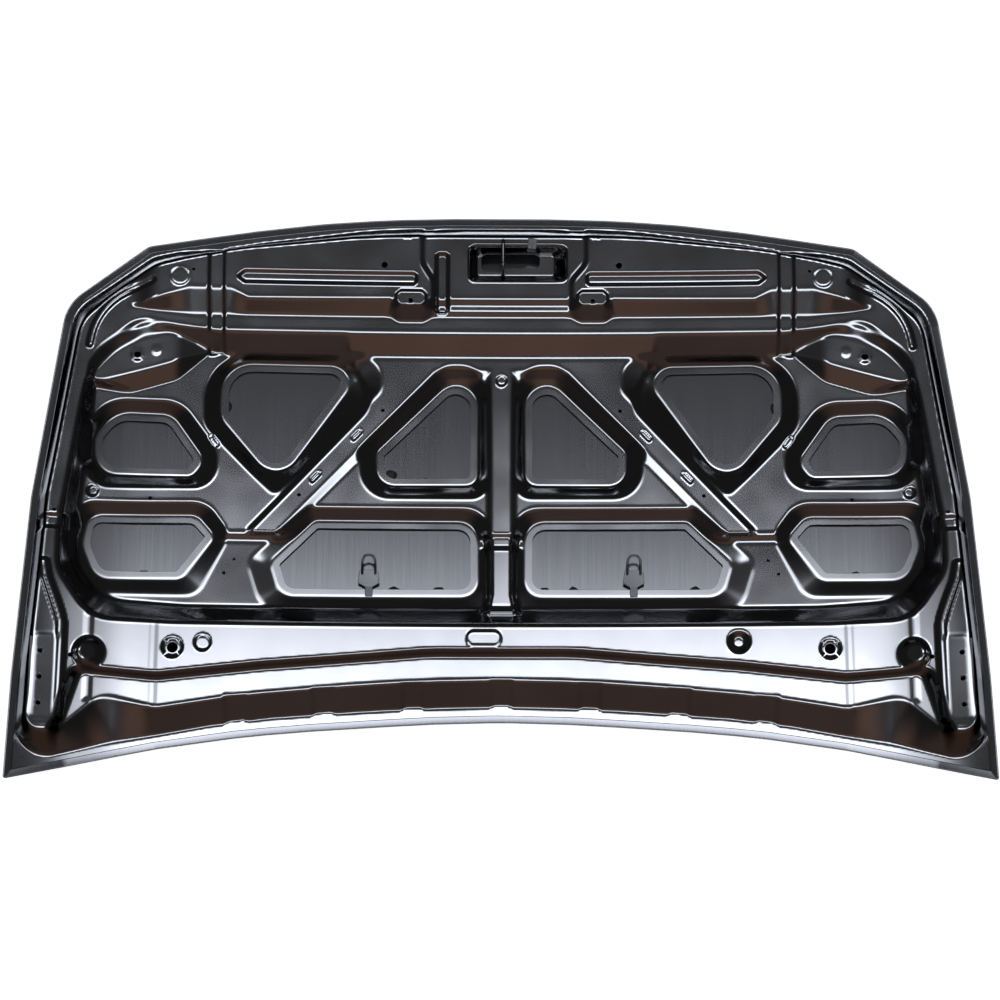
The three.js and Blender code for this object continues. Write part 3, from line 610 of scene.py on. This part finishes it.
def panel_levels():
    """The whole panel's grid and levels: the right half and its mirror image, then what only
    one side has, then the hinge seats."""
    half_x = np.arange(0, PANEL_HALF_X + 0.1, CELL)
    y_lines = np.arange(-PANEL_HALF_Y, PANEL_HALF_Y + 0.1, CELL)
    half = half_levels(sheet_grid(half_x, y_lines))
    level = np.concatenate([half[:, :0:-1], half], axis=1)
    grid = sheet_grid(np.concatenate([-half_x[:0:-1], half_x]), y_lines)
    return grid, hinge_seats(grid, one_sided(grid, level))


def kept_distance(grid):
    """Distance into what stays of the sheet: the least of those from the outline, from the
    inner edge of each cut-out's flange and from the window under the loop."""
    keep = inside(grid, OUTLINE) - PANEL_INSET
    for foot, _ in POCKETS:
        for corners in (foot, mirror(foot)):
            keep = np.minimum(keep, FLANGE_WIDTH - inside(grid, corners))
    return np.minimum(keep, -inside(grid, LATCH_WINDOW))


def read_grid(grid, field, px, py):
    """Values of a field between grid places: the four around each, weighted by nearness."""
    u = (px - grid[0][0, 0]) / CELL
    v = (py - grid[1][0, 0]) / CELL
    i, j = u.astype(int), v.astype(int)
    a, b = u - i, v - j
    low = field[j, i] * (1 - a) + field[j, i + 1] * a
    high = field[j + 1, i] * (1 - a) + field[j + 1, i + 1] * a
    return low * (1 - b) + high * b


def hole_rims(grid, level, slope_x, slope_y, stays, count):
    """Clears a square of faces around each hole, and closes it with a ring from the square's
    edge to the circle at the same angles, and a short wall straight down from the circle."""
    x, y = grid
    columns = x.shape[1]
    points, normals, faces = [], [], []
    for hx, hy, radius in [(s * a, b, r) for a, b, r in HOLES for s in (-1, 1)]:
        n = max(2, math.ceil(radius / CELL) + 1)
        i = round((hx - x[0, 0]) / CELL)
        j = round((hy - y[0, 0]) / CELL)
        stays[j - n:j + n, i - n:i + n] = False
        rim = [(j - n, i + k) for k in range(-n, n)] + [(j + k, i + n) for k in range(-n, n)]
        rim += [(j + n, i - k) for k in range(-n, n)] + [(j - k, i - n) for k in range(-n, n)]
        outer = np.array([b * columns + a for b, a in rim])
        angle = np.array([math.atan2(y[b, a] - hy, x[b, a] - hx) for b, a in rim])
        px, py = hx + radius * np.cos(angle), hy + radius * np.sin(angle)
        height, gx, gy = (read_grid(grid, f, px, py) for f in (level, slope_x, slope_y))
        points += [place(px, py, height), place(px, py, height - HOLE_DEPTH)]
        inward = np.stack([-np.cos(angle), -np.sin(angle), 0 * angle], 1)
        normals += [crowned_normals(px, py, gx, gy), inward]
        top = count + np.arange(len(rim))
        low = top + len(rim)
        faces.append(np.stack([outer, np.roll(outer, -1), np.roll(top, -1), top], 1))
        faces.append(np.stack([top, np.roll(top, -1), np.roll(low, -1), low], 1))
        count += 2 * len(rim)
    return points, normals, faces, count


def edge_walls(count):
    """A wall one sheet deep round each cut-out and the window. It faces into the opening: its
    normals are the way along the edge, turned a quarter."""
    edges = [(rounded(grow(corners, -FLANGE_WIDTH)), FLANGE) for foot, _ in POCKETS
             for corners in (foot, mirror(foot))]
    points, normals, faces = [], [], []
    for ring, level in [*edges, (rounded(LATCH_WINDOW), WINDOW_EDGE)]:
        px, py = ring[:, 0], ring[:, 1]
        points += [place(px, py, level), place(px, py, level - SHEET)]
        along = np.roll(ring, -1, 0) - np.roll(ring, 1, 0)
        winding = np.sign(np.sum(px * np.roll(py, -1) - py * np.roll(px, -1)))
        inward = np.stack([-along[:, 1], along[:, 0], 0 * px], 1) * winding
        inward /= np.linalg.norm(inward, axis=1, keepdims=True)
        normals += [inward, inward]
        top = count + np.arange(len(ring))
        low = top + len(ring)
        quads = np.stack([top, np.roll(top, -1), np.roll(low, -1), low], 1)
        faces.append(quads if winding > 0 else quads[:, ::-1])
        count += 2 * len(ring)
    return points, normals, faces


def inner_panel():
    """The panel's points, normals, sheet faces and edge faces, and the grid's y. The normals
    follow from the slopes of the levels."""
    grid, level = panel_levels()
    slope_y, slope_x = np.gradient(level, CELL, CELL)
    x, y, stays = snap(*grid, kept_distance(grid), CELL)
    rim_points, rim_normals, rim_faces, count = hole_rims(
        grid, level, slope_x, slope_y, stays, x.size)
    wall_points, wall_normals, wall_faces = edge_walls(count)
    sheet = place(x, y, level).reshape(-1, 3)
    sheet_normals = crowned_normals(x, y, slope_x, slope_y).reshape(-1, 3)
    return (np.concatenate([sheet, *rim_points, *wall_points]),
            np.concatenate([sheet_normals, *rim_normals, *wall_normals]),
            grid_faces(stays, x.shape[1]), np.concatenate([*rim_faces, *wall_faces]), grid[1])


def coat_drift():
    """A group for coats on metal. A broad noise picks the tone between dark and light, and a
    finer one the roughness between gloss and dull. Both run straight from 0.3 to 0.7."""
    group = bpy.data.node_groups.new("coat_drift", "ShaderNodeTree")
    for name, way, kind in [
        ("Dark", "INPUT", "NodeSocketColor"), ("Light", "INPUT", "NodeSocketColor"),
        ("Gloss", "INPUT", "NodeSocketFloat"), ("Dull", "INPUT", "NodeSocketFloat"),
        ("Tone", "OUTPUT", "NodeSocketColor"), ("Roughness", "OUTPUT", "NodeSocketFloat"),
    ]:
        group.interface.new_socket(name, in_out=way, socket_type=kind)
    nodes, links = group.nodes, group.links
    given, result = nodes.new("NodeGroupInput"), nodes.new("NodeGroupOutput")
    where = nodes.new("ShaderNodeTexCoord")
    drift = add(nodes, "ShaderNodeTexNoise", Scale=5.5, Detail=4.0, Roughness=0.55)
    mist = add(nodes, "ShaderNodeTexNoise", Scale=14.0, Detail=1.0, Roughness=0.5)
    share, sheen = (add(nodes, "ShaderNodeMapRange", **{"From Min": 0.3, "From Max": 0.7})
                    for _ in range(2))
    tone = add(nodes, "ShaderNodeMix", data_type="RGBA")
    for source, target in [
        (where.outputs["Object"], drift.inputs["Vector"]),
        (where.outputs["Object"], mist.inputs["Vector"]),
        (drift.outputs["Fac"], share.inputs["Value"]),
        (share.outputs["Result"], tone.inputs["Factor"]),
        (given.outputs["Dark"], tone.inputs[6]),
        (given.outputs["Light"], tone.inputs[7]),
        (tone.outputs[2], result.inputs["Tone"]),
        (mist.outputs["Fac"], sheen.inputs["Value"]),
        (given.outputs["Gloss"], sheen.inputs["To Min"]),
        (given.outputs["Dull"], sheen.inputs["To Max"]),
        (sheen.outputs["Result"], result.inputs["Roughness"]),
    ]:
        links.new(source, target)
    return group


def primer(name, dark, light, metal, gloss, dull):
    """A thin coat on steel, whose tone and roughness drift slowly over the sheet."""
    material, nodes, links, shader = node_material(name)
    coat = nodes.new("ShaderNodeGroup")
    coat.node_tree = drift_group
    for socket, value in zip(coat.inputs, ((*dark, 1), (*light, 1), gloss, dull)):
        socket.default_value = value
    links.new(coat.outputs["Tone"], shader.inputs["Base Color"])
    links.new(coat.outputs["Roughness"], shader.inputs["Roughness"])
    shader.inputs["Metallic"].default_value = metal
    return material


drift_group = coat_drift()
panel_primer = primer("panel_primer", (0.29, 0.294, 0.303), (0.36, 0.364, 0.375),
                      1.0, 0.1, 0.14)
points, normals, faces, edge_faces, grid_y = inner_panel()
row_y = grid_y.ravel()[faces[:, 0]]
for name, mine, edges in [
    ("inner_panel_front", row_y >= FRONT_MESH_Y, edge_faces[:0]),
    ("inner_panel_rear", row_y < FRONT_MESH_Y, edge_faces),
]:
    part = compact(points, np.concatenate([faces[mine], edges]), normals)
    finish_piece(new_object(name, *part), panel_primer, "panel_primer", "inner_panel")

# The closing loop: a bent steel wire that bridges the window of the latch's pocket. Its front
# foot is welded to the beam, and its rear foot stands on the pocket's floor.
LOOP_X, LOOP_REAR_Y, LOOP_FRONT_Y = 2, 351.4, 398
LOOP_TOP, LOOP_REAR_FOOT, LOOP_FRONT_FOOT = 73, 34.4, 58.2
LOOP_WIRE, LOOP_BEND = 0.006, 0.009


def ring_faces(rows, count):
    """Faces of a row of rings of count points: a four-sided face from each pair of points to
    the same pair of the next ring, and a flat end on the first and the last ring."""
    faces = [(i * count + k, i * count + (k + 1) % count,
              (i + 1) * count + (k + 1) % count, (i + 1) * count + k)
             for i in range(rows - 1) for k in range(count)]
    first = tuple(range(count - 1, -1, -1))
    return [*faces, first, tuple((rows - 1) * count + k for k in range(count))]


def sweep(path, section):
    """Points and faces of a section carried along a path and kept square to it. The section
    is a list of across and up offsets: across is the way ahead crossed with straight up."""
    path = [Vector(p) for p in path]
    side = Vector((1, 0, 0))
    points = []
    for i, p in enumerate(path):
        ahead = (path[min(i + 1, len(path) - 1)] - path[max(i - 1, 0)]).normalized()
        across = ahead.cross(Vector((0, 0, 1)))
        side = (across if across.length > 0.05 else side).normalized()
        up = side.cross(ahead).normalized()
        points += [tuple(p + side * u + up * v) for u, v in section]
    return points, ring_faces(len(path), len(section))


def fillet_path(points, radius, steps):
    """A path through points whose inner corners are rounded by quadratic curves."""
    points = [Vector(p) for p in points]
    path = [points[0]]
    for a, b, c in zip(points, points[1:], points[2:]):
        start = b + (a - b).normalized() * radius
        end = b + (c - b).normalized() * radius
        for k in range(steps + 1):
            t = k / steps
            path.append(start * (1 - t) ** 2 + b * 2 * t * (1 - t) + end * t * t)
    path.append(points[-1])
    return path


def tube(name, path, diameter, sides=20):
    """A round wire along a path: its section has points at equal angles on a circle."""
    section = [(diameter / 2 * math.cos(2 * math.pi * k / sides),
                diameter / 2 * math.sin(2 * math.pi * k / sides)) for k in range(sides)]
    return new_object(name, *sweep(path, section))


rear_crown, front_crown = crown(LOOP_X, 352), crown(LOOP_X, LOOP_FRONT_Y)
loop_path = [
    (LOOP_X, LOOP_REAR_Y, rear_crown + LOOP_REAR_FOOT),
    (LOOP_X, LOOP_REAR_Y, rear_crown + LOOP_TOP),
    (LOOP_X, LOOP_FRONT_Y, rear_crown + LOOP_TOP),
    (LOOP_X, LOOP_FRONT_Y, front_crown + LOOP_FRONT_FOOT),
]
loop_path = [(x * MM, (y + PLAN_SHIFT) * MM, z * MM) for x, y, z in loop_path]
loop = tube("striker_loop", fillet_path(loop_path, LOOP_BEND, 12), LOOP_WIRE)
steel = primer("loop_steel", (0.16, 0.16, 0.165), (0.3, 0.3, 0.305), 0.95, 0.2, 0.3)
finish_piece(loop, steel, "loop_steel", "striker_loop")

# The stop for the safety catch: a bent steel tab beside the loop, fixed on the beam and
# hanging into the latch's pocket. Its profile runs along and up from where it bends.
TAB_PROFILE = [(0.014, 0.001), (0.0, 0.001), (-0.0022, 0.0002), (-0.003, -0.002),
               (-0.003, -0.0135)]
TAB_WIDTH, TAB_THICKNESS, TAB_EDGE = 0.014, 0.002, 0.0005
TAB_PLACE = (47, 388, 60.3)


def at(x, y, level):
    """One point in metres at a plan place and level."""
    return tuple(place(np.float64(x), np.float64(y), level))


def crown_frame(x, y, level):
    """A frame standing square on the crown at a level: its z axis is the crown's normal."""
    slope_x, slope_y = crown_slope(np.float64(x), y)
    up = Vector((-slope_x, -slope_y, 1)).normalized()
    return Matrix.Translation(at(x, y, level)) @ up.to_track_quat("Z", "Y").to_matrix().to_4x4()


def bent_plate(name, profile, width, thickness, matrix, edge):
    """A flat strip bent along a profile of along and up offsets, with its edges rounded."""
    half, thin = width / 2, thickness / 2
    section = [(-half, -thin), (half, -thin), (half, thin), (-half, thin)]
    path = [Vector((0, along, up)) for along, up in profile]
    piece = new_object(name, *sweep(path, section), smooth=False)
    piece.data.transform(matrix)
    bevel = piece.modifiers.new("edges", "BEVEL")
    bevel.width = edge
    bevel.segments = 2
    bevel.limit_method = "ANGLE"
    return piece


tab = bent_plate("catch_tab", TAB_PROFILE, TAB_WIDTH, TAB_THICKNESS, crown_frame(*TAB_PLACE),
                 TAB_EDGE)
finish_piece(tab, steel, "loop_steel", "catch_tab")

# The hose brackets: one on the rear flange of each lower cut-out, a primed steel tongue that
# flares into a plate and rises over the opening, with a wire arch at its end. The plate is
# given by places along and widths, and the arch by places across and along.
BRACKET_X, BRACKET_Y, BRACKET_LIFT = 204, -147, 0.4
PLATE_ROWS = np.array([(-10.5, 12), (4, 12), (10, 33), (26, 30), (29, 24)])
PLATE_THICKNESS, PLATE_EDGE = 2, 0.0007
RISE_START, RISE_RUN = 4, 3.0
ARCH = np.array([(-10, 22), (-10, 40), (-9, 45.5), (-5.5, 49.6), (0, 51), (5.5, 49.6),
                 (9, 45.5), (10, 40), (10, 22)])
ARCH_LIFT, ARCH_WIRE = 2.2, 0.004


def bracket_points(side, dx, dy, lift):
    """Points in metres about a bracket's place: their height is the flange's plus a straight
    rise of one in RISE_RUN from RISE_START on, plus the lift."""
    ground = float(crown(BRACKET_X, BRACKET_Y)) + FLANGE + BRACKET_LIFT
    z = ground + np.maximum(0, dy - RISE_START) / RISE_RUN + lift
    x, y = side * BRACKET_X + dx, dy + BRACKET_Y + PLAN_SHIFT
    return (np.stack(np.broadcast_arrays(x, y, z), -1).reshape(-1, 3) * MM).tolist()


bracket_primer = primer("bracket_primer", (0.12, 0.12, 0.13), (0.22, 0.22, 0.235),
                        0.9, 0.25, 0.38)
for side, label in ((-1, "left"), (1, "right")):
    along, width = PLATE_ROWS[:, :1], PLATE_ROWS[:, 1:]
    corners = bracket_points(side, width * np.array([-0.5, 0.5, 0.5, -0.5]), along,
                             PLATE_THICKNESS * np.array([0, 0, 1, 1]))
    plate = new_object(f"hose_bracket_{label}", corners, ring_faces(len(PLATE_ROWS), 4),
                       smooth=False)
    bevel = plate.modifiers.new("edges", "BEVEL")
    bevel.width = PLATE_EDGE
    bevel.segments = 3
    finish_piece(plate, bracket_primer, "bracket_primer", f"hose_bracket_{label}")
    arch = bracket_points(side, ARCH[:, 0], ARCH[:, 1], ARCH_LIFT)
    wire = tube(f"hose_bracket_{label}_wire", arch, ARCH_WIRE, 12)
    finish_piece(wire, bracket_primer, "bracket_primer", f"hose_bracket_{label}")

# The dabs of sealing compound: soft black lumps laid between the skin and the flanges of the
# cut-outs, squeezed out at their edges. Each is a flattened ball swollen here and there.
DABS = [
    (-430, 144), (430, 144), (-172, 36), (-118, 24), (-120, -42), (-166, -150), (-96, -150),
    (-548, -130), (272, 112), (240, 76), (66, -150), (112, -150), (298, -150), (546, -130),
]
DAB_HALF_X, DAB_HALF_Y, DAB_HALF_Z, DAB_LEVEL = 9.0, 8.6, 2.4, 3.6
DAB_SWELL, DAB_LUMPS, DAB_STEP = 0.28, 1.7, 3.1


def sealing_compound():
    """Dull black paste: a fine noise drives its tone and its relief."""
    material, nodes, links, shader = node_material("sealing_compound")
    where = nodes.new("ShaderNodeTexCoord")
    lumps = add(nodes, "ShaderNodeTexNoise", Scale=180.0, Detail=4.0)
    links.new(where.outputs["Object"], lumps.inputs["Vector"])
    tone = ramp_node(nodes, [(0.3, (0.006, 0.006, 0.007)), (0.75, (0.02, 0.02, 0.021))])
    links.new(lumps.outputs["Fac"], tone.inputs["Fac"])
    links.new(tone.outputs["Color"], shader.inputs["Base Color"])
    bump = add(nodes, "ShaderNodeBump", Strength=0.4, Distance=0.001)
    links.new(lumps.outputs["Fac"], bump.inputs["Height"])
    links.new(bump.outputs["Normal"], shader.inputs["Normal"])
    shader.inputs["Roughness"].default_value = 0.55
    return material


mastic = sealing_compound()
for number, (dx, dy) in enumerate(DABS, 1):
    ball = bmesh.new()
    bmesh.ops.create_icosphere(ball, subdivisions=4, radius=1)
    for vertex in ball.verts:
        p = vertex.co
        lump = noise.noise(p * DAB_LUMPS + Vector((number * DAB_STEP, 0, 0)))
        swell = 1 + DAB_SWELL * lump
        px, py = dx + p.x * DAB_HALF_X * swell, dy + p.y * DAB_HALF_Y * swell
        vertex.co = at(px, py, DAB_LEVEL + p.z * DAB_HALF_Z)
    mesh = bpy.data.meshes.new(f"mastic_pad_{number:02d}")
    ball.to_mesh(mesh)
    ball.free()
    mesh.polygons.foreach_set("use_smooth", [True] * len(mesh.polygons))
    dab = bpy.data.objects.new(f"mastic_dab_{number:02d}", mesh)
    bpy.context.collection.objects.link(dab)
    finish_piece(dab, mastic, "sealing_compound", f"mastic_pad_{number:02d}")

# The plates and weld nuts behind the sheet: primed steel plates behind the latch and the
# hinges, and bare steel nuts welded to them. They keep their solids and get their finishes.
nut_steel = primer("nut_steel", (0.3, 0.3, 0.3), (0.45, 0.45, 0.44), 1.0, 0.3, 0.45)
for name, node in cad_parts.items():
    if name.startswith("hinge_nut"):
        node.data.materials.clear()
        node.data.materials.append(nut_steel)
    elif name.startswith("hinge_reinforcement") or name == "latch_reinforcement":
        node.data.materials.clear()
        node.data.materials.append(bracket_primer)

# The floor: a wide pale sheet just under the skin, matt and faintly glowing, so that it comes
# out white. It is kept out of reflections.
FLOOR_HALF, FLOOR_DROP = 12, 0.0005
floor_mesh = bpy.data.meshes.new("floor")
floor_mesh.from_pydata([(x * FLOOR_HALF, y * FLOOR_HALF, 0)
                        for x, y in ((-1, -1), (1, -1), (1, 1), (-1, 1))], [], [(0, 1, 2, 3)])
floor = bpy.data.objects.new("floor", floor_mesh)
floor.location.z = -FLOOR_DROP
bpy.context.collection.objects.link(floor)
pale, nodes, links, shader = node_material("pale_floor")
shader.inputs["Base Color"].default_value = (0.9, 0.9, 0.9, 1)
shader.inputs["Roughness"].default_value = 0.9
shader.inputs["Emission Color"].default_value = (1, 1, 1, 1)
shader.inputs["Emission Strength"].default_value = 0.85
floor_mesh.materials.append(pale)
floor.visible_glossy = False

# The studio: light as a function of direction, made of smooth masks on the direction's x, y and
# height and on its distance from straight up. A bright softbox stands above the front edge and
# a bright half hoop above the rear. The ceiling is dim, and the back is faintly copper.
world = bpy.data.worlds.new("studio")
bpy.context.scene.world = world
world.use_nodes = True
nodes, links = world.node_tree.nodes, world.node_tree.links
nodes.clear()
direction = nodes.new("ShaderNodeTexCoord")
split = nodes.new("ShaderNodeSeparateXYZ")
links.new(direction.outputs["Generated"], split.inputs["Vector"])


def maths(kind, a, b=0.0):
    """A sum, product or other simple step on numbers or sockets."""
    node = nodes.new("ShaderNodeMath")
    node.operation = kind
    for socket, value in zip(node.inputs, (a, b)):
        if isinstance(value, (int, float)):
            socket.default_value = value
        else:
            links.new(value, socket)
    return node.outputs[0]


def smooth(value, start, end):
    """A smooth step of a value from 0 at start to 1 at end."""
    node = nodes.new("ShaderNodeMapRange")
    node.interpolation_type = "SMOOTHSTEP"
    links.new(value, node.inputs["Value"])
    node.inputs["From Min"].default_value = start
    node.inputs["From Max"].default_value = end
    return node.outputs["Result"]


def falling(value, start, end, depth=1.0):
    """1 less a smooth step times a depth."""
    return maths("SUBTRACT", 1.0, maths("MULTIPLY", smooth(value, start, end), depth))


def times(first, *others):
    """The product of all the masks."""
    for other in others:
        first = maths("MULTIPLY", first, other)
    return first


flat_x, flat_y, height = split.outputs["X"], split.outputs["Y"], split.outputs["Z"]
aside, behind = maths("ABSOLUTE", flat_x), maths("MULTIPLY", flat_y, -1.0)
off_top = maths("SQRT", maths("ADD", times(flat_x, flat_x), times(flat_y, flat_y)))
above = smooth(height, 0.0, 0.25)
softbox = times(smooth(flat_y, 0.262, 0.335), falling(flat_y, 0.4, 0.5),
                falling(aside, 0.1, 0.2, 0.55), falling(aside, 0.24, 0.33), above)
hoop = times(smooth(off_top, 0.27, 0.33), falling(off_top, 0.41, 0.48),
             falling(flat_y, -0.05, 0.08))
copper = times(smooth(off_top, 0.55, 0.66), falling(off_top, 0.72, 0.84),
               falling(flat_y, -0.6, -0.3), above)
ceiling = times(above, falling(off_top, 0.4, 0.75, 0.75))
low_back = times(smooth(behind, 0.45, 0.95), smooth(height, -0.6, 0.0))
total = None
for mask, colour in [
    (softbox, (4.6, 4.75, 5.2)),
    (hoop, (3.2, 3.35, 3.6)),
    (copper, (0.13, 0.068, 0.046)),
    (ceiling, (0.082, 0.082, 0.085)),
    (low_back, (0.08, 0.045, 0.032)),
]:
    scaled = add(nodes, "ShaderNodeVectorMath", operation="SCALE")
    scaled.inputs[0].default_value = colour
    links.new(mask, scaled.inputs["Scale"])
    if total is None:
        total = scaled.outputs[0]
    else:
        both = add(nodes, "ShaderNodeVectorMath", operation="ADD")
        links.new(total, both.inputs[0])
        links.new(scaled.outputs[0], both.inputs[1])
        total = both.outputs[0]
background = nodes.new("ShaderNodeBackground")
links.new(total, background.inputs["Color"])
output = nodes.new("ShaderNodeOutputWorld")
links.new(background.outputs["Background"], output.inputs["Surface"])

# The camera: above the rear edge, looking down and forwards at the height and distance that
# were fitted to the photograph's outline, with a slight turn sideways and a slight roll.
ELEVATION, SIDEWAYS, ROLL = math.radians(76), math.radians(0.55), math.radians(0.158)
DISTANCE, AIM_Y, AIM_Z = 4.2, -0.011, 0.04
SENSOR_WIDTH, FOCAL_LENGTH, SHIFT_X = 36, 98.02, -0.00153
ahead = Vector((0, math.cos(ELEVATION), -math.sin(ELEVATION)))
up = Vector((0, math.sin(ELEVATION), math.cos(ELEVATION)))
right = Vector((1, 0, 0))
aim = ahead * math.cos(SIDEWAYS) + right * math.sin(SIDEWAYS)
level_right = right * math.cos(SIDEWAYS) - ahead * math.sin(SIDEWAYS)
right = level_right * math.cos(ROLL) + up * math.sin(ROLL)
up = up * math.cos(ROLL) - level_right * math.sin(ROLL)
lens = bpy.data.cameras.new("camera")
lens.sensor_width = SENSOR_WIDTH
lens.lens = FOCAL_LENGTH
lens.shift_x = SHIFT_X
camera = bpy.data.objects.new("camera", lens)
spot = Vector((0, AIM_Y + PLAN_SHIFT * MM, AIM_Z)) - aim * DISTANCE
turn = Matrix((right, up, -aim)).transposed().to_4x4()
camera.matrix_world = Matrix.Translation(spot) @ turn
bpy.context.collection.objects.link(camera)
bpy.context.scene.camera = camera
bpy.context.scene.view_settings.view_transform = "Standard"
